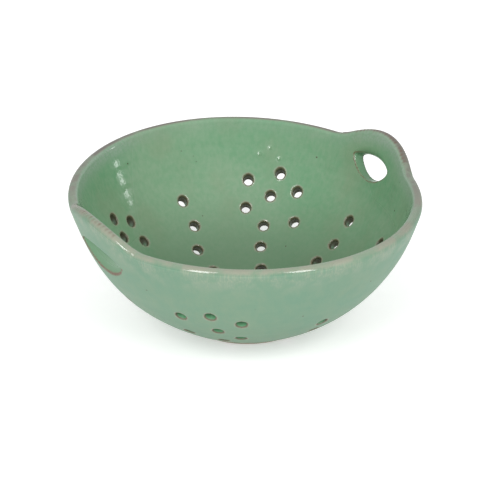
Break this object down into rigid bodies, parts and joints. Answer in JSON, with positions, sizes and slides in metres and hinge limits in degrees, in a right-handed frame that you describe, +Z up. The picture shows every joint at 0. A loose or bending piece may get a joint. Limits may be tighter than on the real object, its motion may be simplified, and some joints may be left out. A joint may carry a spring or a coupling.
{
  "type": "berry bowl",
  "caption": "Round glazed stoneware bowl with daisy-shaped groups of drain holes, a strap handle over a finger slot on each side of the rim, and a low foot ring.",
  "frame": {"origin": "centre of the face that the foot ring stands on", "axes": "+Z up out of the mouth of the bowl, +X through the middle of the right strap handle, which puts the other handle on -X"},
  "size_m": [0.1832, 0.181, 0.0807],
  "materials": {
    "green_glaze": "glossy, opaque celadon green glaze on stoneware, breaking to taupe and brown at edges",
    "thin_glaze": "thin, opaque, beige green glaze over buff stoneware, wiped back at the standing face"
  },
  "bodies": {
    "root": {"bowl_body": "green_glaze", "handle_strap_right": "green_glaze", "handle_strap_left": "green_glaze", "foot_ring": "thin_glaze"}
  },
  "joints": []
}
